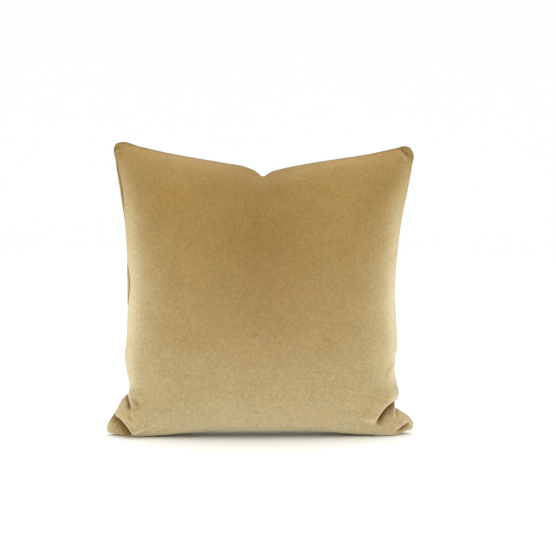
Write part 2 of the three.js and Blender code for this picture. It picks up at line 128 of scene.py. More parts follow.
def rounded(g, share):
    """Moves each inner point of a grid toward the middle of its four neighbours, in place."""
    mean = (g[2:, 1:-1] + g[:-2, 1:-1] + g[1:-1, 2:] + g[1:-1, :-2]) / 4
    g[1:-1, 1:-1] += share * (mean - g[1:-1, 1:-1])


def unit(v):
    """The same directions at length 1."""
    return v / np.maximum(np.linalg.norm(v, axis=-1, keepdims=True), 1e-12)


def plan(u, v):
    """Where the flat cloth's points (u, v) come in the seam's plane, as [across, up]."""
    shape = np.shape(u)
    u, v = np.ravel(u), np.ravel(v)
    bottom, top = through(BOTTOM_SIDE, u), through(TOP_SIDE, u)
    left, right = through(LEFT_SIDE, v), through(RIGHT_SIDE, v)
    low, high = through(BOTTOM_SIDE, np.array([0, 1.0])), through(TOP_SIDE, np.array([0, 1.0]))
    u, v = u[:, None], v[:, None]
    corners = (1 - v) * ((1 - u) * low[0] + u * low[1]) + v * ((1 - u) * high[0] + u * high[1])
    place = (1 - v) * bottom + v * top + (1 - u) * left + u * right - corners
    return place.reshape(*shape, 2)


ROLL_AT = 0.06  # share of the cloth's side from the bottom seam to where the front hangs lowest
ROLL_DROP = 0.014


def first_guess(n):
    """Front half of the pillow before the cloth settles, as an n by n grid of points."""
    s = np.linspace(0, 1, n)
    u, v = np.meshgrid(s, s)
    grid = np.zeros((n, n, 3))
    grid[..., 0::2] = plan(u, v)
    full = (4 * u * (1 - u)) * (4 * v * (1 - v))
    grid[..., 1] = -DEPTH / 2 * full**0.5
    roll = (v / ROLL_AT) * np.exp(1 - v / ROLL_AT) * (1 - (2 * u - 1) ** 8)
    grid[..., 2] -= ROLL_DROP * roll
    return grid


# ---------------------------------------------------------------- cloth
def grid_numbers(n):
    """Point numbers of the front and the back grid, which share the seam's points."""
    front = np.arange(n * n).reshape(n, n)
    back = front.copy()
    back[1:-1, 1:-1] = n * n + np.arange((n - 2) ** 2).reshape(n - 2, n - 2)
    return front, back


def grid_quads(ids, flip=False):
    """The faces between a grid's points, turned over if flip is true."""
    a, b, c, d = ids[:-1, :-1], ids[:-1, 1:], ids[1:, 1:], ids[1:, :-1]
    return np.stack([d, c, b, a] if flip else [a, b, c, d], -1).reshape(-1, 4)


def settle(n, frames):
    """Inflates two flat squares of cloth, sewn together all round, on the seam's course."""
    front, back = grid_numbers(n)
    guess = first_guess(n)
    start = np.zeros((n * n + (n - 2) ** 2, 3))
    start[back.ravel()] = (guess * (1, -1, 1)).reshape(-1, 3)
    start[front.ravel()] = guess.reshape(-1, 3)
    quads = np.concatenate([grid_quads(front), grid_quads(back, True)])
    mesh = bpy.data.meshes.new("cloth")
    mesh.from_pydata(start.tolist(), [], quads.tolist())
    cloth = bpy.data.objects.new("cloth", mesh)
    bpy.context.scene.collection.objects.link(cloth)
    line = np.linspace(-CUT / 2, CUT / 2, n)
    across, up = np.meshgrid(line, line)
    flat = np.zeros_like(start)
    flat[back.ravel()] = np.stack([across, 0 * up + FLAT_GAP, up], -1).reshape(-1, 3)
    flat[front.ravel()] = np.stack([across, 0 * up, up], -1).reshape(-1, 3)
    cloth.shape_key_add(name="Basis")
    key = cloth.shape_key_add(name="flat")
    key.data.foreach_set("co", flat.ravel())
    group = cloth.vertex_groups.new(name="seam")
    rim = np.unique(np.concatenate([front[0], front[-1], front[:, 0], front[:, -1]]))
    group.add([int(i) for i in rim], 1.0, "REPLACE")
    modifier = cloth.modifiers.new("cloth", "CLOTH")
    s = modifier.settings
    s.quality, s.mass, s.air_damping = 6, 2.5e-5, 3.0
    s.tension_stiffness, s.compression_stiffness = 60, 1.0
    s.shear_stiffness, s.bending_stiffness = 3, 0.03
    s.tension_damping = s.compression_damping = s.shear_damping = 5
    s.use_pressure, s.uniform_pressure_force = True, 4.0
    s.fluid_density = 0.12
    s.vertex_group_mass = "seam"
    s.pin_stiffness = 1.0
    s.rest_shape_key = key
    modifier.collision_settings.use_collision = False
    scene = bpy.context.scene
    gravity = scene.gravity.copy()
    scene.gravity = (0, 0, SIM_GRAVITY)
    modifier.point_cache.frame_start, modifier.point_cache.frame_end = 1, frames
    for number in range(1, frames + 1):
        scene.frame_set(number)
    moved = cloth.evaluated_get(bpy.context.evaluated_depsgraph_get()).data
    settled = np.empty(start.size)
    moved.vertices.foreach_get("co", settled)
    settled = settled.reshape(-1, 3)
    scene.frame_set(1)
    scene.gravity = gravity
    bpy.data.objects.remove(cloth)
    bpy.data.meshes.remove(mesh)
    return settled[front], settled[back]


n = SIM_CELLS + 1
front_sim, back_sim = settle(n, SIM_FRAMES)


CALMING_PASSES = 14


def calmed(grid):
    """Smooths the small wrinkles that the pressed-in cloth keeps below the notch and by the sides."""
    s = np.linspace(0, 1, len(grid))
    u, v = np.meshgrid(s, s)
    notch = np.exp(-(((u - 0.5) / 0.16) ** 2) - (((1 - v) / 0.22) ** 2))
    sides = 0.7 * np.exp(-((np.minimum(u, 1 - u) / 0.13) ** 2)) * smooth(0.10, 0.18, v)
    share = np.clip(notch + sides, 0, 1)[1:-1, 1:-1, None] * 0.8
    g = grid.copy()
    for _ in range(CALMING_PASSES):
        rounded(g, share)
    return g


front_sim, back_sim = calmed(front_sim), calmed(back_sim)


# ---------------------------------------------------------------- finished panels
def spline_weights(n, at):
    """Catmull-Rom weights that read an n-point line at places from 0 to 1."""
    w = np.zeros((len(at), n))
    x = np.clip(np.asarray(at) * (n - 1), 0, n - 1 - 1e-9)
    i = x.astype(int)
    t = x - i
    rows = np.arange(len(at))
    parts = (
        (-1, -0.5 * t**3 + t**2 - 0.5 * t),
        (0, 1.5 * t**3 - 2.5 * t**2 + 1),
        (1, -1.5 * t**3 + 2 * t**2 + 0.5 * t),
        (2, 0.5 * t**3 - 0.5 * t**2),
    )
    for k, c in parts:
        j = i + k
        under, over = j < 0, j > n - 1
        w[rows, np.clip(j, 0, n - 1)] += np.where(under | over, 0, c)
        # Beyond the ends the line runs straight on.
        w[rows[under], 0] += 2 * c[under]
        w[rows[under], 1] -= c[under]
        w[rows[over], n - 1] += 2 * c[over]
        w[rows[over], n - 2] -= c[over]
    return w


CROWDING = 0.105  # how much closer together the grid lines are at the seams
even = np.linspace(0, 1, FINE_LINES)
LINES = np.clip(even - CROWDING * np.sin(2 * np.pi * even), 0, 1)
WEIGHTS = spline_weights(n, LINES)


def finer(grid):
    """The simulated grid read at the finished panels' grid lines."""
    return np.einsum("ai,bj,ijk->abk", WEIGHTS, WEIGHTS, grid, optimize=True)


# ---------------------------------------------------------------- the weight on the floor
MID_CLEARANCE = 0.0085  # of the rolled underside above the floor, half way along
FOOT_AT = 0.206  # where the pillow stands, to each side of the middle


def stand(grid):
    """Lets the rolled underside down until it stands on the floor near the corners."""
    g = grid.copy()
    v = LINES[:, None]
    x = np.abs(g[0, :, 0])
    lowest = g[: len(g) // 3, :, 2].min(0)
    wanted = MID_CLEARANCE * (1 - smooth(0.06, FOOT_AT, x)) - 0.003 * bump(x, FOOT_AT, 0.02)
    ends = 1 - smooth(FOOT_AT + 0.008, 0.246, x)
    drop = np.maximum(lowest - wanted, 0) * ends
    share = smooth(0, 0.022, v) * (1 - smooth(0.05, 0.30, v))
    g[..., 2] -= drop[None, :] * share
    return g


# ---------------------------------------------------------------- folds
# Each fold's lip runs through points [across, up] in mm. On the side of the line named by its sign the
# cloth goes back under the lip: lip is how far the lip stands forward, swell how wide it swells, wall
# how far the cloth behind it sinks, reach how wide that hollow is, and over how far the lip hangs over
# it. fade is the share of the line's two ends over which the fold dies out. dark scales the painted
# shade in the hollow, and shine the painted highlight on the lip.
FOLDS = [
    # bottom left corner: the upper pocket, the lower pocket and three soft creases
    dict(line=[(-215, 71), (-210, 60), (-205, 46)], side=1, lip=9, swell=12, wall=6, reach=8,
         over=1.5, fade=(0.0, 0.25), dark=1.3),
    dict(line=[(-234, 38), (-224, 32), (-214, 22), (-208, 13), (-203, 4)], side=1, lip=17, swell=16,
         wall=9, reach=20, over=3.0, fade=(0.0, 0.1), dark=0.72),
    dict(line=[(-221, 37), (-209, 24), (-198, 13)], side=1, lip=5, swell=6, wall=4.5, reach=6,
         over=0.6, fade=(0.35, 0.35), dark=1.5),
    dict(line=[(-212, 42), (-206, 33), (-202, 27)], side=1, lip=4, swell=5, wall=3.5, reach=5,
         over=0.4, fade=(0.35, 0.35), dark=1.7),
    dict(line=[(-209, 72), (-198, 62), (-186, 50)], side=1, lip=2.8, swell=9, wall=2.8, reach=8,
         over=0, fade=(0.2, 0.5), dark=1.5),
    # bottom right corner: the crescent, the small pocket and the crease by the tip
    dict(line=[(228, 60), (216, 59.5), (205, 55), (193, 43.5), (184, 28), (181.5, 20)], side=-1, lip=16,
         swell=17, wall=11, reach=13, over=3.5, fade=(0.0, 0.2)),
    dict(line=[(224, 48), (219.5, 41), (217, 29)], side=-1, lip=10, swell=5.5, wall=8, reach=6,
         over=1.0, fade=(0.0, 0.35)),
    dict(line=[(243, 25), (232, 17), (217, 8)], side=-1, lip=4, swell=9, wall=4.5, reach=8,
         over=0.6, fade=(0.3, 0.3), dark=1.3),
    # pinches in the side seams
    dict(line=[(223, 112), (211, 106), (200, 94)], side=1, lip=3, swell=11, wall=1.5, reach=8,
         over=0, fade=(0.0, 0.6)),
    dict(line=[(-223, 157), (-217, 148), (-209, 134)], side=1, lip=2.2, swell=8, wall=1.6, reach=6,
         over=0, fade=(0.0, 0.6)),
    dict(line=[(230, 294), (216, 289), (206, 284)], side=1, lip=2, swell=9, wall=1.5, reach=7,
         over=0, fade=(0.0, 0.6)),
    # top corners
    dict(line=[(224, 466), (232, 459), (239, 449)], side=-1, lip=2.6, swell=9, wall=2.6, reach=8,
         over=0, fade=(0.3, 0.3), dark=1.3, shine=0.5),
    dict(line=[(-240, 462), (-231, 465), (-219, 465)], side=-1, lip=2.2, swell=8, wall=1.6, reach=6,
         over=0, fade=(0.3, 0.4), dark=1.4, shine=0.35),
]


FOLD_REACH = 90  # mm from its line beyond which a fold does nothing
FULLY_DARK = 14  # mm from lip to hollow at which a fold's painted shade is as dark as it gets


def fold_shift(grid, fold):
    """How far each point moves for one fold, in metres, how much painted shade (+) or painted highlight
    (-) it gets, and how near it is to the fold."""
    drawn = np.array(fold["line"], float)
    run = np.concatenate([[0], np.cumsum(np.linalg.norm(np.diff(drawn, axis=0), axis=1))])
    line = through(np.column_stack([run / run[-1], drawn]), np.linspace(0, 1, 20)) * 1000
    p = grid[..., (0, 2)] * 1000
    steps = np.diff(line, axis=0)
    lengths = np.linalg.norm(steps, axis=1)
    total, last, done = lengths.sum(), len(steps) - 1, 0.0
    best = np.full(p.shape[:2], 1e9)
    d, along, beyond = np.zeros_like(best), np.zeros_like(best), np.zeros_like(best)
    toward = np.zeros(p.shape)
    for k, (a, step, length) in enumerate(zip(line[:-1], steps, lengths)):
        free = ((p - a) @ step) / length**2
        t = np.clip(free, 0, 1)
        away = np.linalg.norm(p - (a + t[..., None] * step), axis=-1)
        near = away < best
        best = np.where(near, away, best)
        normal = np.array([step[1], -step[0]]) / length * fold["side"]
        d = np.where(near, (p - a) @ normal, d)
        along = np.where(near, (done + t * length) / total, along)
        out = np.maximum(-free * length if k == 0 else 0, (free - 1) * length if k == last else 0)
        beyond = np.where(near, np.maximum(out, 0), beyond)
        toward = np.where(near[..., None], normal, toward)
        done += length
    start, end = fold["fade"]
    share = bump(beyond, 0, 5) * (best < FOLD_REACH)
    if start:
        share = share * smooth(0, start, along)
    if end:
        share = share * smooth(0, end, 1 - along)
    lip = -fold["lip"] * np.where(d < 0, bump(d, 0, fold["swell"]), 1 - smooth(0, 4.0, d))
    wall = fold["wall"] * smooth(0, 4.4, d) * bump(d, 0, fold["reach"])
    over = fold["over"] * bump(d, -1, 3.5) * share
    shift = np.stack([toward[..., 0] * over, (lip + wall) * share, toward[..., 1] * over], -1)
    deep = min(1.0, (fold["lip"] + fold["wall"]) / FULLY_DARK) * fold.get("dark", 1.0)
    shade = smooth(-0.4, 2.0, d) * np.exp(-(np.abs(d / (0.9 * fold["reach"])) ** 3)) * share * deep
    shine = bump(d, -1, 1.6) * share * min(1, 1.6 * deep) * fold.get("shine", 1.0)
    return shift / 1000, shade - 0.8 * shine, bump(best, 0, 20)


def seam_distance():
    """Distance of each crossing of the grid lines from the seam, in the flat cloth, in metres."""
    edge = np.minimum(LINES, 1 - LINES) * CUT
    return np.minimum(edge[:, None], edge[None, :])


def slid_seam(front, back):
    """Rolls the left seam a little onto the front half way up and near the top, so that it shows
    inside the outline there."""
    slide = SEAM_SLIDE * (bump(LINES, 0.56, 0.05) + 0.8 * bump(LINES, 0.87, 0.07)) / CUT
    near = 1 - smooth(0, 0.09, LINES)
    run = np.concatenate([-LINES[::-1], LINES[1:]])
    for row in np.flatnonzero(slide > 1e-5):  # the section from the back panel to the front one
        section = np.concatenate([back[row, ::-1], front[row, 1:]])
        for grid, side in ((front, 1), (back, -1)):
            at = side * LINES + slide[row] * near
            grid[row] = np.stack([np.interp(at, run, section[:, k]) for k in range(3)], -1)


ROUNDING_PASSES = 4
VALLEY = 0.0014  # depth of the groove along the seam
LEAST_GAP = 0.0016  # between the two panels' outer faces, away from the seam
MID_HEIGHT = 0.235  # of the point that the valley's bottom is pushed toward


def shaped(front, back):
    """The finished outer surfaces, the painted shade and highlight that the folds give each point of the
    front one, and for what lies inside: the two surfaces without folds, and how near each point is to
    one."""
    front, back = stand(front), stand(back)
    slid_seam(front, back)
    plain = front.copy(), back.copy()
    folded = np.zeros(front.shape[:2])
    rim = seam_distance()
    free = smooth(0, 0.005, rim)[..., None]  # the seam itself moves only forward and back
    shade = np.zeros(rim.shape)
    for fold in FOLDS:
        shift, dark, near = fold_shift(front, fold)
        shift[..., 0::2] *= free
        front = front + shift
        shade += dark
        folded = np.maximum(folded, near)
        shift, _, _ = fold_shift(back, fold)
        shift[..., 0::2] *= free
        back = back + shift * bump(rim, 0, 0.008)[..., None]
    # The cloth rounds off each fold's steep wall, and the painted shade in it with it.
    shade = shade[..., None]
    soft = 0.6 * smooth(0.15, 0.6, folded)[1:-1, 1:-1, None]
    for _ in range(ROUNDING_PASSES):
        for g in (front, back, shade):
            rounded(g, soft)
        for edge in ((0, slice(None)), (-1, slice(None)), (slice(None), 0), (slice(None), -1)):
            y = (front[edge][:, 1] + back[edge][:, 1]) / 2
            y[1:-1] = 0.5 * y[1:-1] + 0.25 * (y[2:] + y[:-2])
            front[edge][:, 1] = back[edge][:, 1] = y
    # The seam lies in a shallow valley between the two panels.
    along_zip = 1 - smooth(ZIP_HALF + 0.004, ZIP_HALF + 0.012, np.abs(front[0, :, 0]))
    bottom = bump(LINES * CUT, 0, 0.012)[:, None]
    valley = VALLEY * bump(rim, 0, 0.0018) * (1 - along_zip * bottom)
    for g in (front, back):
        g += unit(((0, 0, MID_HEIGHT) - g) * (1, 0, 1)) * valley[..., None]
    # The panels never pass through each other.
    gap = back[..., 1] - front[..., 1]
    short = np.maximum(0, LEAST_GAP * smooth(0, 0.004, rim) - gap)
    front[..., 1] -= short / 2
    back[..., 1] += short / 2
    # Along the zip the two edges stand apart.
    apart = ZIP_LIP * along_zip * bottom
    front[..., 1] -= apart
    back[..., 1] += apart
    for g in (front, back):
        g[..., 2] = np.maximum(g[..., 2], FLOOR_GAP)
    return front, back, shade[..., 0], plain, folded


front, back, fold_shade, plain_sides, folded = shaped(finer(front_sim), finer(back_sim))


def mesh_object(name, points, faces):
    """A new object. Its four-sided faces are shaded smooth, and any others flat."""
    mesh = bpy.data.meshes.new(name)
    mesh.from_pydata(points.tolist(), [], faces)
    mesh.validate()
    mesh.polygons.foreach_set("use_smooth", [len(p.vertices) == 4 for p in mesh.polygons])
    o = bpy.data.objects.new(name, mesh)
    bpy.context.scene.collection.objects.link(o)
    return o


def normals_of(grid):
    """Directions square to a grid's surface: the outward ones on the front."""
    return unit(np.cross(np.gradient(grid, axis=1), np.gradient(grid, axis=0)))


def rim_of(ids):
    """The outline of a grid's point numbers, anticlockwise from the bottom left corner."""
    return np.concatenate([ids[0, :-1], ids[:-1, -1], ids[-1, :0:-1], ids[:0:-1, 0]])


def rim_band(near, far):
    """The four corners of each face between two rings of points."""
    return [np.roll(near, -1), near, far, np.roll(far, -1)]


def panel_object(name, grid, side, cloth, turned_in=None):
    """A closed panel: the grid outside, and a copy inside it by the cloth's thickness. turned_in gives
    the rings of points that its edge runs through between the two, behind the seam."""
    ids = np.arange(len(grid) ** 2).reshape(len(grid), -1)
    inner = grid + normals_of(grid) * cloth[..., None] * side
    points = [grid.reshape(-1, 3), inner.reshape(-1, 3)]
    flip = side > 0
    quads = [grid_quads(ids, flip), grid_quads(ids + ids.size, not flip)]
    rim = rim_of(ids)
    rings = [rim]
    for ring in turned_in or []:
        rings.append(sum(len(p) for p in points) + np.arange(len(rim)))
        points.append(ring)
    rings.append(rim + ids.size)
    for near, far in zip(rings[:-1], rings[1:]):
        band = rim_band(near, far)
        quads.append(np.stack(band[::-1] if flip else band, -1))
    points = np.concatenate(points)
    points[:, 2] = np.maximum(points[:, 2], FLOOR_GAP)
    return mesh_object(name, points, np.concatenate(quads).tolist())


def closed_pair(name, sides):
    """A closed piece of two equal grids that face each other, joined round their outlines."""
    ids = np.arange(sides[0][..., 0].size).reshape(sides[0].shape[:2])
    rim = rim_of(ids)
    band = np.stack(rim_band(rim, rim + ids.size), -1)
    faces = np.concatenate([grid_quads(ids), grid_quads(ids + ids.size, True), band])
    return mesh_object(name, np.concatenate([g.reshape(-1, 3) for g in sides]), faces.tolist())


FINE_U, FINE_V = np.meshgrid(LINES, LINES)
RIM = rim_of(np.arange(FINE_LINES**2).reshape(FINE_LINES, -1))
MIDDLE = (front + back) / 2  # its outline is the seam


def read(values, u, v):
    """A fine grid's values at places (u, v) of the flat cloth."""
    numbers = np.arange(len(LINES))
    x, y = np.interp(u, LINES, numbers), np.interp(v, LINES, numbers)
    i, j = np.minimum(x.astype(int), numbers[-2]), np.minimum(y.astype(int), numbers[-2])
    x, y = x - i, y - j
    if values.ndim == 3:
        x, y = x[..., None], y[..., None]
    low = values[j, i] * (1 - x) + values[j, i + 1] * x
    high = values[j + 1, i] * (1 - x) + values[j + 1, i + 1] * x
    return low * (1 - y) + high * y


def on_seam(u, v):
    """The seam's point nearest to (u, v)."""
    beside = np.minimum(u, 1 - u) < np.minimum(v, 1 - v)
    return np.where(beside, np.round(u), u), np.where(beside, v, np.round(v))


def inside_seam(u, v):
    """Points (u, v) of the seam's plane, moved with the nearest point of the seam itself."""
    edge_u, edge_v = on_seam(u, v)
    place = read(MIDDLE, edge_u, edge_v)
    place[..., 0::2] += plan(u, v) - plan(edge_u, edge_v)
    return place


def on_zip(place, margin=0.006):
    """True for points of the bottom seam, the only ones so low and so near the middle, at the zip."""
    return (np.abs(place[..., 0]) < ZIP_HALF + margin) & (place[..., 2] < 0.06)


def allowance(side):
    """The two rings behind the seam: the panel's edge, and its other face."""
    u, v = FINE_U.ravel()[RIM], FINE_V.ravel()[RIM]
    at_zip = on_zip(inside_seam(u, v), 0.004)
    depth = np.where(at_zip, ZIP_ALLOWANCE, ALLOWANCE) / CUT
    edge = inside_seam(np.clip(u, depth, 1 - depth), np.clip(v, depth, 1 - depth))
    near = 0.0002 + np.where(at_zip, SEAM_STEP + ZIP_LIP, 0)
    thick = np.where(at_zip, 0.4 * VELVET, VELVET)
    return [edge + np.stack([0 * u, side * (near + k), 0 * u], -1) for k in (0, thick)]


def point_value(o, name, values):
    """Keeps a number at each point of the mesh, for its material to read."""
    data = o.data.attributes.new(name, "FLOAT", "POINT").data
    data.foreach_set("value", np.asarray(values, np.float32))


pressed = VELVET * (1 - 0.6 * bump(seam_distance(), 0, 0.003))  # flat in the seam
velvet_front = panel_object("cover_front", front + (0, -SEAM_STEP, 0), -1, pressed, allowance(-1))
velvet_back = panel_object("cover_back", back + (0, SEAM_STEP, 0), 1, pressed, allowance(1))
spare = [0] * (2 * len(RIM))  # the allowance's points
seam_shade_and_crushed_pile = 0.45 * bump(seam_distance(), 0, 0.0024)  # painted shade in the seam, where the pile is also crushed
for piece, shade in ((velvet_front, fold_shade + seam_shade_and_crushed_pile), (velvet_back, seam_shade_and_crushed_pile)):
    point_value(piece, "fold_shade", [*shade.ravel(), *shade.ravel(), *spare])


# ---------------------------------------------------------------- the insert and the filling
FOLD_ROOM = 0.014  # the insert lies this much deeper where the cover is folded


def crowded(m):
    """Shares of a side for m grid lines that crowd at the seams as the cover's do."""
    return np.interp(np.linspace(0, 1, m), even, LINES)


def inner_skin(m, inset, depth, gap):
    """The two sides of a pillow inside the cover: its seam at the inset, its cloth at the depth."""
    c = inset / CUT
    lines = c + (1 - 2 * c) * crowded(m)
    u, v = np.meshgrid(lines, lines)
    seam = inside_seam(u, v)
    to_rim = np.minimum(np.minimum(u, 1 - u), np.minimum(v, 1 - v)) - c
    free = smooth(0, 0.055, to_rim)[..., None]
    sides = []
    for grid, side, extra in ((plain_sides[0], -1, FOLD_ROOM), (plain_sides[1], 1, 0.001)):
        deep = grid + normals_of(grid) * (depth + extra * folded)[..., None] * side
        skin = read(deep, u, v)
        flat = seam + (0, side * gap, 0)
        sides.append(skin * free + flat * (1 - free))
    return sides


insert_depth = VELVET + LAYER_GAP
INSERT_LINES = 120
insert_sides = inner_skin(INSERT_LINES, INSERT_INSET, insert_depth, 0.0005)
insert_edge = np.minimum(crowded(INSERT_LINES), 1 - crowded(INSERT_LINES))
insert_rim = np.minimum(insert_edge[:, None], insert_edge[None, :]) * CUT
insert_cloth = TICKING * (1 - 0.7 * bump(insert_rim, 0, 0.004))  # flat in the seam
insert_front = panel_object("insert_front", insert_sides[0], -1, insert_cloth)
insert_back = panel_object("insert_back", insert_sides[1], 1, insert_cloth)

rng = np.random.default_rng(7)


def clumps(m, count, size):
    """Soft lumps of feathers, from 0 to 1, over an m by m grid."""
    g = np.linspace(0, 1, m)
    u, v = np.meshgrid(g, g)
    height = np.zeros((m, m))
    for cu, cv, r in rng.random((count, 3)):
        near = np.exp(-((u - cu) ** 2 + (v - cv) ** 2) / (size * (0.6 + r)) ** 2)
        height = np.maximum(height, near)
    return height


FILL_LINES = 110
FILL_INSET = INSERT_INSET + 0.009
fill_sides = inner_skin(FILL_LINES, FILL_INSET, insert_depth + TICKING + 0.0022, 0.0002)
share = np.linspace(0, 1, FILL_LINES)
share = np.minimum(share, 1 - share)
rim_free = smooth(0, 0.08, np.minimum(share[:, None], share[None, :]))
for grid, side in zip(fill_sides, (-1, 1)):
    sink = 0.0016 * (1 - clumps(FILL_LINES, 260, 0.022)) * rim_free
    grid += normals_of(grid) * side * sink[..., None]
fill = closed_pair("feather_fill", fill_sides)


# ---------------------------------------------------------------- threads
RING_STEPS = 400  # along each side of the seam


def ring(inset, pitch):
    """Evenly spaced points round the seam at an inset, and their places (u, v) in the cloth."""
    c = inset / CUT
    step = (1 - 2 * c) / RING_STEPS
    s = c + (1 - 2 * c) * np.linspace(0, 1, RING_STEPS, endpoint=False)
    low, high = np.full(RING_STEPS, c), np.full(RING_STEPS, 1 - c)
    u = np.concatenate([s, high, s[::-1] + step, low])
    v = np.concatenate([low, s, high, s[::-1] + step])
    place = inside_seam(u, v)
    run = np.concatenate([[0], np.cumsum(np.linalg.norm(np.diff(place, axis=0), axis=1))])
    at = np.linspace(0, run[-1], int(run[-1] / pitch))
    points = np.stack([np.interp(at, run, place[:, k]) for k in range(3)], -1)
    return points, np.interp(at, run, u), np.interp(at, run, v)


def open_runs(points, keep, least=8):
    """The stretches of a path whose points are kept."""
    cuts = np.flatnonzero(np.diff(np.concatenate([[False], keep, [False]]).astype(int)))
    return [points[a:b] for a, b in zip(cuts[::2], cuts[1::2]) if b - a >= least]


def tube(name, runs, radius, sides=6):
    """Round thread along each run of points."""
    points, faces, count = [], [], 0
    turn = np.arange(sides) * 2 * np.pi / sides
    for path in runs:
        t = unit(np.gradient(path, axis=0))
        across = np.empty_like(t)
        n = np.cross(t[0], (0.31, 0.55, 0.77))  # any direction that no thread runs in
        for k, along in enumerate(t):
            n = n - along * (n @ along)
            n = n / np.linalg.norm(n)
            across[k] = n
        other = np.cross(t, across)
        rings = (
            path[:, None]
            + radius * np.cos(turn)[None, :, None] * across[:, None]
            + radius * np.sin(turn)[None, :, None] * other[:, None]
        )
        ids = count + np.arange(len(path) * sides).reshape(len(path), sides)
        nxt = np.roll(ids, -1, axis=1)
        faces += np.stack([ids[:-1], nxt[:-1], nxt[1:], ids[1:]], -1).reshape(-1, 4).tolist()
        faces += [ids[0, ::-1].tolist(), ids[-1].tolist()]
        points.append(rings.reshape(-1, 3))
        count += len(path) * sides
    return mesh_object(name, np.concatenate(points), faces)


def stitched(name, inset, pitch, half, radius, skip_zip):
    """A lockstitch through both panels: it passes from one side to the other at each hole."""
    path, _, _ = ring(inset, pitch / 4)
    side = np.tile([1.0, 1.0, -1.0, -1.0], len(path) // 4 + 1)[: len(path)]
    path[:, 1] += half * side
    keep = ~on_zip(path) if skip_zip else np.ones(len(path), bool)
    return tube(name, open_runs(path, keep), radius)


cover_thread = stitched("cover_seam_stitches", 0.0016, 0.003, 0.0009, 0.00022, True)
insert_thread = stitched("insert_seam_stitches", INSERT_INSET + 0.0035, 0.0028, 0.0006, 0.00018, False)


LOOP_BEND = 0.35  # share of a loop that bends round the edge


def overlocked(name, pitch, reach, half, radius):
    """Overlock: a loop over the raw edge and back inward along each face, again and again."""
    base, u, v = ring(ALLOWANCE, pitch / 12)
    inward = unit((base - inside_seam(*on_seam(u, v))) * (1, 0, 1))
    q = 1 - 4 * np.abs(np.arange(len(base)) % 24 / 24 - 0.5)  # -1 to 1 and back
    bend = np.clip(q / LOOP_BEND, -1, 1) * np.pi / 2
    back = (np.abs(q) - LOOP_BEND) / (1 - LOOP_BEND) * reach
    way_in = np.where(np.abs(q) < LOOP_BEND, 0.0006 * np.cos(bend), -back)
    loops = base + inward * way_in[:, None]
    loops[:, 1] += half * np.sin(bend)
    return tube(name, open_runs(loops, ~on_zip(base, 0.010)), radius, 5)


overlock = overlocked("overlock_loops", 0.003, 0.005, 0.0027, 0.00016)


# ---------------------------------------------------------------- label and zip coils
LABEL_MARGIN = 0.002  # clear of the insert and of the overlock stitching
LABEL_HALF = 0.00012  # half the satin's thickness


def care_label(name, node):
    """A strip of satin that waves a little, more so toward its loose edge."""
    low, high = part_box(node)
    x, z = np.meshgrid(
        np.linspace(low[0] + LABEL_MARGIN, high[0], 10),
        np.linspace(low[2], high[2] - LABEL_MARGIN, 34),
    )
    loose = (x - low[0]) / (high[0] - low[0])
    wave = 0.00016 * loose * np.sin((z - low[2]) * 260) + 0.00009 * np.sin(x * 1700)
    middle = np.stack([x, (low[1] + high[1]) / 2 + wave, z], -1)
    return closed_pair(name, [middle - (0, LABEL_HALF, 0), middle + (0, LABEL_HALF, 0)])


label = care_label("care_label_satin", "care_label")


def coil(name, node, side):
    """A zip's coil: one thread wound round and round along the tape's edge. The two coils are mirror
    images, half a turn apart, so their loops hook between each other."""
    low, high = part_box(node)
    pitch, radius, steps = 0.00125, 0.00024, 12
    turns = int((high[0] - low[0] - 2 * radius - pitch) / pitch)
    angle = 2 * np.pi * np.arange(turns * steps + 1) / steps
    across = np.sign(np.cos(angle)) * np.abs(np.cos(angle)) ** 0.7  # squarer than a circle
    upward = np.sign(np.sin(angle)) * np.abs(np.sin(angle)) ** 0.7
    path = np.stack([
        low[0] + radius + pitch * (angle / (2 * np.pi) + (0.5 if side > 0 else 0)),
        (low[1] + high[1]) / 2 - side * ((high[1] - low[1]) / 2 - radius) * across,
        (low[2] + high[2]) / 2 + ((high[2] - low[2]) / 2 - radius) * upward,
    ], -1)
    return tube(name, [path], radius)


coil_front = coil("zip_coil_front", "zipper_coil_front", -1)
coil_back = coil("zip_coil_back", "zipper_coil_back", 1)


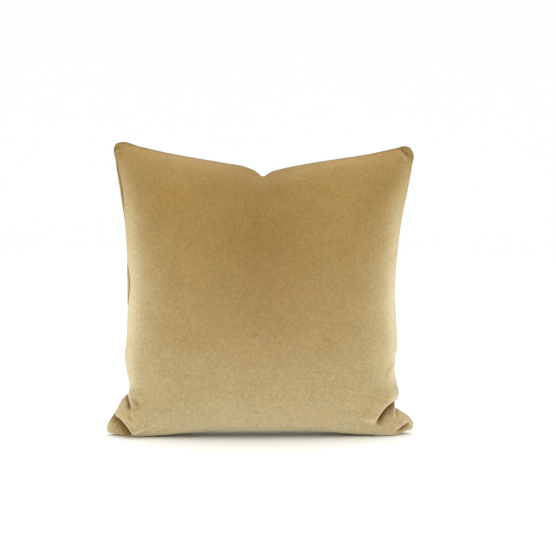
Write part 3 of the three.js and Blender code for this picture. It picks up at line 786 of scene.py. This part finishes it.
# ---------------------------------------------------------------- materials
class Nodes:
    """Small helpers to wire a node tree."""

    def __init__(self, tree):
        self.nodes, self.links = tree.nodes, tree.links

    def new(self, kind, **values):
        n = self.nodes.new(kind)
        for k, v in values.items():
            setattr(n, k, v)
        return n

    def put(self, socket, value):
        if isinstance(value, bpy.types.NodeSocket):
            self.links.new(value, socket)
        else:
            socket.default_value = value

    def math(self, operation, a, b=0.0, c=0.0, clamp=False):
        n = self.new("ShaderNodeMath", operation=operation, use_clamp=clamp)
        for socket, value in zip(n.inputs, (a, b, c)):
            self.put(socket, value)
        return n.outputs[0]

    def mix(self, factor, a, b, blend="MIX"):
        n = self.new("ShaderNodeMix", data_type="RGBA", blend_type=blend)
        self.put(n.inputs["Factor"], factor)
        self.put(n.inputs[6], a)
        self.put(n.inputs[7], b)
        return n.outputs[2]

    def split(self, vector):
        n = self.new("ShaderNodeSeparateXYZ")
        self.put(n.inputs[0], vector)
        return n.outputs[0], n.outputs[1], n.outputs[2]

    def noise(self, vector, scale, detail=2.0, roughness=0.5, distortion=0.0):
        n = self.new("ShaderNodeTexNoise")
        self.put(n.inputs["Vector"], vector)
        self.put(n.inputs["Scale"], scale)
        self.put(n.inputs["Detail"], detail)
        self.put(n.inputs["Roughness"], roughness)
        self.put(n.inputs["Distortion"], distortion)
        return n.outputs[0]

    def ramp(self, factor, stops):
        n = self.new("ShaderNodeValToRGB")
        self.put(n.inputs[0], factor)
        e = n.color_ramp.elements
        while len(e) < len(stops):
            e.new(0.5)
        for element, (at, colour) in zip(e, stops):
            element.position = at
            element.color = (*colour, 1)
        return n.outputs[0]

    def spread(self, value, low, high, to_low=0.0, to_high=1.0):
        n = self.new("ShaderNodeMapRange")
        for i, v in enumerate((value, low, high, to_low, to_high)):
            self.put(n.inputs[i], v)
        return n.outputs[0]


def material(name):
    """A new material, the helpers to wire it, and its Principled shader, already in its output."""
    m = bpy.data.materials.new(name)
    m.use_nodes = True
    m.node_tree.nodes.clear()
    t = Nodes(m.node_tree)
    b = t.new("ShaderNodeBsdfPrincipled")
    t.put(t.new("ShaderNodeOutputMaterial").inputs[0], b.outputs[0])
    return m, t, b


def plain_material(name, roughness, specular=0.4, sheen=0.0, metallic=0.0):
    m, t, b = material(name)
    b.inputs["Roughness"].default_value = roughness
    b.inputs["Specular IOR Level"].default_value = specular
    b.inputs["Metallic"].default_value = metallic
    b.inputs["Sheen Weight"].default_value = sheen
    b.inputs["Sheen Roughness"].default_value = 0.4
    return m, t, b, t.new("ShaderNodeTexCoord").outputs["Object"]


def bumped(t, b, height, distance, strength=0.6):
    n = t.new("ShaderNodeBump")
    n.inputs["Strength"].default_value = strength
    n.inputs["Distance"].default_value = distance
    t.put(n.inputs["Height"], height)
    t.put(b.inputs["Normal"], n.outputs[0])


def velvet_material(name):
    """Velvet, partly painted: its tones were tuned against the photo, which shows the front."""
    m, t, b, place = plain_material(name, 0.9, 0.25, 0.30)
    across, _, up = t.split(place)
    # Painted sheen: its colour goes from deep to pale by how far the surface turns from facing front or
    # back, and by how far it leans down, in the scene's axes. That stands in for the nap's sheen from
    # the front.
    _, facing, rising = t.split(t.new("ShaderNodeNewGeometry").outputs["Normal"])
    turned = t.math("SUBTRACT", 1.0, t.math("ABSOLUTE", facing))
    lean = t.math("MAXIMUM", t.math("MULTIPLY", rising, -1.0), 0.0)
    share_up = t.spread(up, 0.0, 0.48)
    # Painted light: the deep colour is lighter and paler toward the bottom, for the light that the floor
    # throws back up and the nap catches, and darkest near the top.
    deep = t.ramp(
        share_up,
        [
            (0.04, (0.500, 0.390, 0.200)),
            (0.17, (0.440, 0.328, 0.152)),
            (0.32, (0.405, 0.284, 0.117)),
            (0.50, (0.375, 0.249, 0.091)),
            (0.68, (0.340, 0.216, 0.064)),
            (0.85, (0.320, 0.200, 0.054)),
            (1.00, (0.340, 0.222, 0.074)),
        ],
    )
    # The painted sheen's colour, palest half way up.
    pale = t.ramp(
        share_up,
        [(0.0, (0.74, 0.64, 0.40)), (0.45, (0.80, 0.70, 0.43)), (1.0, (0.62, 0.47, 0.22))],
    )
    patches = t.noise(place, 26, 2.0, 0.5)
    pebbles = t.noise(place, 230, 1.5, 0.55, 0.7)
    pile = t.noise(place, 1100, 1.0, 0.5)
    # Where it faces up the painted sheen is weaker, so it stays deeper.
    upward = t.spread(rising, 0.05, 0.55, 1.0, 0.15)
    turned = t.math("MULTIPLY", t.math("MULTIPLY", t.math("POWER", turned, 1.25), 1.45), upward)
    paleness = t.math("SUBTRACT", t.math("MULTIPLY_ADD", patches, 0.16, turned), 0.09)
    paleness = t.math("ADD", paleness, t.math("MULTIPLY", lean, 0.25), clamp=True)
    colour = t.mix(paleness, deep, pale)
    # Painted shade: darker down the middle of the upper part, where the velvet faces straight out.
    middle = t.spread(t.math("ABSOLUTE", across), 0.0, 0.12, 1.0, 0.0)
    brushing_and_facing_shade = t.math("MULTIPLY", middle, t.spread(up, 0.10, 0.34))
    colour = t.mix(brushing_and_facing_shade, colour, (0.80, 0.76, 0.68, 1), "MULTIPLY")
    # Warmer and cooler patches from handling.
    warm = t.spread(t.noise(place, 14, 2.0, 0.6), 0.56, 0.72, 0.0, 0.30)
    colour = t.mix(warm, colour, (1.12, 0.93, 0.86, 1), "MULTIPLY")
    # Painted shade darkens the hollows of the folds, and painted shade with the crushed pile the seam;
    # painted highlight lightens the folds' lips.
    shade = t.new("ShaderNodeAttribute", attribute_name="fold_shade").outputs["Fac"]
    dark = t.math("MULTIPLY", t.math("MAXIMUM", shade, 0.0), 1.15, clamp=True)
    bright = t.math("MULTIPLY", t.math("MINIMUM", shade, 0.0), -0.65, clamp=True)
    colour = t.mix(dark, colour, (0.14, 0.065, 0.005, 1), "MULTIPLY")
    colour = t.mix(dark, colour, (1.06, 0.86, 0.40, 1), "MULTIPLY")
    colour = t.mix(bright, colour, (0.72, 0.62, 0.40, 1))
    grain = t.math("MULTIPLY_ADD", pebbles, 0.60, t.math("MULTIPLY", pile, 0.40))
    grain = t.math("ADD", grain, 0.50)
    colour = t.mix(1.0, colour, grain, "MULTIPLY")
    t.put(b.inputs["Base Color"], colour)
    t.put(b.inputs["Roughness"], t.spread(pebbles, 0.3, 0.7, 0.82, 0.95))
    b.inputs["Sheen Roughness"].default_value = 0.45
    b.inputs["Sheen Tint"].default_value = (1.0, 0.93, 0.74, 1)
    bumped(t, b, t.math("MULTIPLY_ADD", pile, 0.4, pebbles), 0.0012, 0.55)
    return m


def bands(t, place, direction, per_metre, distortion=0.0):
    """Even ridges across a direction, so many to the metre."""
    n = t.new("ShaderNodeTexWave", wave_type="BANDS", bands_direction=direction)
    t.put(n.inputs["Vector"], place)
    n.inputs["Scale"].default_value = per_metre * 2 * math.pi / 20
    n.inputs["Distortion"].default_value = distortion
    n.inputs["Detail Scale"].default_value = per_metre / 4
    return n.outputs["Fac"]


def woven_material(name, dark, light, per_metre, sheen=0.3, diagonal=False):
    m, t, b, place = plain_material(name, 0.85, 0.25, sheen)
    warp = bands(t, place, "DIAGONAL" if diagonal else "X", per_metre, 0.4)
    weft = bands(t, place, "Z", per_metre * 1.1, 0.4)
    checks = t.math("MAXIMUM", t.math("MULTIPLY", warp, 0.9), weft)
    worn = t.noise(place, 60, 3.0, 0.6)
    share = t.math("MULTIPLY_ADD", worn, 0.5, t.math("MULTIPLY", checks, 0.5), clamp=True)
    t.put(b.inputs["Base Color"], t.mix(share, (*dark, 1), (*light, 1)))
    t.put(b.inputs["Roughness"], t.spread(checks, 0, 1, 0.95, 0.78))
    bumped(t, b, checks, 0.0002)
    return m


def thread_material(name, dark, light, sheen=0.4):
    m, t, b, place = plain_material(name, 0.6, 0.4, sheen)
    twist = bands(t, place, "DIAGONAL", 2600, 0.3)
    fuzz = t.noise(place, 3500, 2.0, 0.6)
    share = t.math("MULTIPLY_ADD", fuzz, 0.4, t.math("MULTIPLY", twist, 0.6), clamp=True)
    t.put(b.inputs["Base Color"], t.mix(share, (*dark, 1), (*light, 1)))
    t.put(b.inputs["Roughness"], t.spread(fuzz, 0.3, 0.7, 0.5, 0.75))
    bumped(t, b, share, 0.00008)
    return m


def feather_material(name):
    m, t, b, place = plain_material(name, 0.9, 0.2, 0.6)
    drawn_out = t.new("ShaderNodeMapping")
    t.put(drawn_out.inputs["Vector"], place)
    drawn_out.inputs["Rotation"].default_value = (0, 0.6, 0)
    drawn_out.inputs["Scale"].default_value = (1, 1, 0.25)
    barbs = t.noise(drawn_out.outputs[0], 900, 3.0, 0.65, 1.5)
    tufts = t.noise(place, 55, 3.0, 0.6)
    t.put(b.inputs["Base Color"], t.ramp(
        t.math("MULTIPLY_ADD", tufts, 0.6, t.math("MULTIPLY", barbs, 0.4)),
        [(0.30, (0.56, 0.52, 0.46)), (0.45, (0.80, 0.77, 0.71)), (0.70, (0.90, 0.88, 0.84))],
    ))
    t.put(b.inputs["Roughness"], t.spread(barbs, 0.3, 0.7, 0.82, 0.98))
    bumped(t, b, t.math("ADD", barbs, tufts), 0.0012, 0.8)
    return m


def satin_material(name):
    m, t, b, place = plain_material(name, 0.35, 0.55, 0.2)
    ribs = bands(t, place, "Z", 3200, 0.2)
    handled = t.noise(place, 220, 3.0, 0.6)
    share = t.math("MULTIPLY_ADD", handled, 0.6, t.math("MULTIPLY", ribs, 0.4), clamp=True)
    t.put(b.inputs["Base Color"], t.mix(share, (0.78, 0.76, 0.71, 1), (0.93, 0.92, 0.89, 1)))
    t.put(b.inputs["Roughness"], t.spread(ribs, 0, 1, 0.42, 0.28))
    bumped(t, b, ribs, 0.00006, 0.5)
    return m


def coil_material(name):
    m, t, b, place = plain_material(name, 0.32, 0.5, 0.0)
    drawn = t.noise(place, 2600, 2.0, 0.5)
    rubbed = t.noise(place, 160, 3.0, 0.6)
    t.put(b.inputs["Base Color"], t.mix(rubbed, (0.30, 0.205, 0.095, 1), (0.46, 0.34, 0.18, 1)))
    t.put(b.inputs["Roughness"], t.spread(rubbed, 0.3, 0.7, 0.26, 0.42))
    bumped(t, b, drawn, 0.00005, 0.4)
    return m


def metal_material(name):
    """Antique brass: browner in the hollows, brighter where it is handled."""
    m, t, b, place = plain_material(name, 0.32, 0.5, 0.0, 1.0)
    brushing_and_facing_shade = t.new("ShaderNodeMapping")
    t.put(brushing_and_facing_shade.inputs["Vector"], place)
    brushing_and_facing_shade.inputs["Scale"].default_value = (1, 1, 12)
    lines = t.noise(brushing_and_facing_shade.outputs[0], 900, 3.0, 0.7)
    tarnish = t.noise(place, 420, 4.0, 0.6)
    edges = t.new("ShaderNodeNewGeometry").outputs["Pointiness"]
    share = t.math("ADD", tarnish, t.spread(edges, 0.47, 0.56, -0.25, 0.35), clamp=True)
    t.put(b.inputs["Base Color"], t.mix(share, (0.16, 0.10, 0.045, 1), (0.60, 0.43, 0.19, 1)))
    rough = t.math("MULTIPLY_ADD", lines, 0.5, t.math("MULTIPLY", tarnish, 0.5))
    t.put(b.inputs["Roughness"], t.spread(rough, 0.3, 0.7, 0.24, 0.48))
    bumped(t, b, t.math("MULTIPLY_ADD", tarnish, 0.5, lines), 0.00004, 0.5)
    return m


velvet = velvet_material("velvet")
thread_gold = thread_material("polyester_thread", (0.34, 0.235, 0.10), (0.55, 0.42, 0.21))
cotton = woven_material("cotton_ticking", (0.66, 0.62, 0.54), (0.86, 0.83, 0.76), 900)
zip_tape = woven_material("zip_tape_twill", (0.30, 0.205, 0.095), (0.47, 0.345, 0.175), 1300, 0.2, True)
zip_metal = metal_material("antique_brass")
nylon = coil_material("nylon_coil")
for piece, look in (
    (velvet_front, velvet),
    (velvet_back, velvet),
    (cover_thread, thread_gold),
    (overlock, thread_gold),
    (insert_thread, thread_material("cotton_thread", (0.70, 0.66, 0.58), (0.90, 0.88, 0.82))),
    (insert_front, cotton),
    (insert_back, cotton),
    (fill, feather_material("white_feathers")),
    (label, satin_material("label_weave")),
    (coil_front, nylon),
    (coil_back, nylon),
):
    piece.data.materials.append(look)
for node, look in (
    ("zipper_tape_front", zip_tape),
    ("zipper_tape_back", zip_tape),
    ("zipper_top_stop_front", zip_metal),
    ("zipper_top_stop_back", zip_metal),
    ("zipper_bottom_stop", zip_metal),
    ("zipper_slider", zip_metal),
    ("zipper_pull_tab", zip_metal),
):
    for finish in bpy.data.objects[node].material_slots:
        finish.material = look

for piece, node, slot in (
    (velvet_front, "cover_front_panel", "velvet_front"),
    (velvet_back, "cover_back_panel", "velvet_back"),
    (insert_front, "insert_front_panel", "insert_cotton"),
    (insert_back, "insert_back_panel", "insert_cotton"),
    (fill, "insert_feather_fill", "feather_and_down"),
    (cover_thread, "cover_seam_thread", "seam_thread"),
    (insert_thread, "insert_seam_thread", "insert_thread"),
    (overlock, "cover_overlock_stitching", "overlock_thread"),
    (label, "care_label", "label_satin"),
    (coil_front, "zipper_coil_front", "zip_coil"),
    (coil_back, "zipper_coil_back", "zip_coil"),
):
    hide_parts(node)
    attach(piece, "body")

# ---------------------------------------------------------------- floor, light and camera
scene = bpy.context.scene
FLOOR_FLAT, FLOOR_CURVE, FLOOR_TOP = 6.0, 1.5, 2.3  # a bowl: flat to there, then curved up to a wall
FLOOR_DOWN = 0.0005  # below zero
TURNS = 64


def bowl(name):
    """The white paper floor, which curves up all round to close off the horizon."""
    bends = np.arange(1, 13) * math.pi / 24
    profile = [(2.0, 0.0), (FLOOR_FLAT, 0.0)]
    profile += [(FLOOR_FLAT + FLOOR_CURVE * math.sin(a), FLOOR_CURVE * (1 - math.cos(a))) for a in bends]
    profile += [(FLOOR_FLAT + FLOOR_CURVE, FLOOR_TOP)]
    angles = 2 * math.pi * np.arange(TURNS) / TURNS
    points = [(r * math.cos(a), r * math.sin(a), z - FLOOR_DOWN) for r, z in profile for a in angles]
    ids = np.arange(len(points)).reshape(-1, TURNS)
    near, far = ids[:-1], ids[1:]
    faces = np.stack([near, np.roll(near, -1, 1), np.roll(far, -1, 1), far], -1).reshape(-1, 4).tolist()
    faces += [(b, a, len(points)) for a, b in zip(ids[0].tolist(), np.roll(ids[0], -1).tolist())]
    mesh = bpy.data.meshes.new(name)
    mesh.from_pydata(points + [(0, 0, -FLOOR_DOWN)], [], faces)
    mesh.polygons.foreach_set("use_smooth", [True] * len(mesh.polygons))
    paper, _, shader = material("floor_paper")
    shader.inputs["Base Color"].default_value = (0.972, 0.988, 0.980, 1)
    shader.inputs["Roughness"].default_value = 0.9
    mesh.materials.append(paper)
    o = bpy.data.objects.new(name, mesh)
    scene.collection.objects.link(o)
    return o


bowl("floor")

world = bpy.data.worlds.new("studio")
world.use_nodes = True
scene.world = world
world.node_tree.nodes["Background"].inputs[0].default_value = (1, 1, 1, 1)
world.node_tree.nodes["Background"].inputs[1].default_value = 1.02


def area_light(name, place, aim, size, power):
    data = bpy.data.lights.new(name, "AREA")
    data.shape, data.size, data.size_y, data.energy = "RECTANGLE", size[0], size[1], power
    o = bpy.data.objects.new(name, data)
    o.location = place
    o.rotation_euler = (Vector(aim) - Vector(place)).to_track_quat("-Z", "Y").to_euler()
    scene.collection.objects.link(o)


area_light("overhead", (0, -0.3, 2.6), (0, 0, 0.2), (2.6, 2.0), 22)

VIEW_WIDTH = 0.908504  # how much of the seam's plane the picture spans
DISTANCE = 2.6
ELEVATION = math.radians(4)
AZIMUTH = math.radians(-1.5)
aim = Vector((0.0294, 0, 0.257))
camera_data = bpy.data.cameras.new("camera")
camera = bpy.data.objects.new("camera", camera_data)
scene.collection.objects.link(camera)
away = Vector((
    math.sin(AZIMUTH) * math.cos(ELEVATION),
    -math.cos(AZIMUTH) * math.cos(ELEVATION),
    math.sin(ELEVATION),
))
camera.location = aim + away * DISTANCE
camera.rotation_euler = (-away).to_track_quat("-Z", "Y").to_euler()
camera_data.sensor_width = 36
camera_data.lens = camera_data.sensor_width * DISTANCE / VIEW_WIDTH
scene.camera = camera
scene.view_settings.view_transform = "Standard"
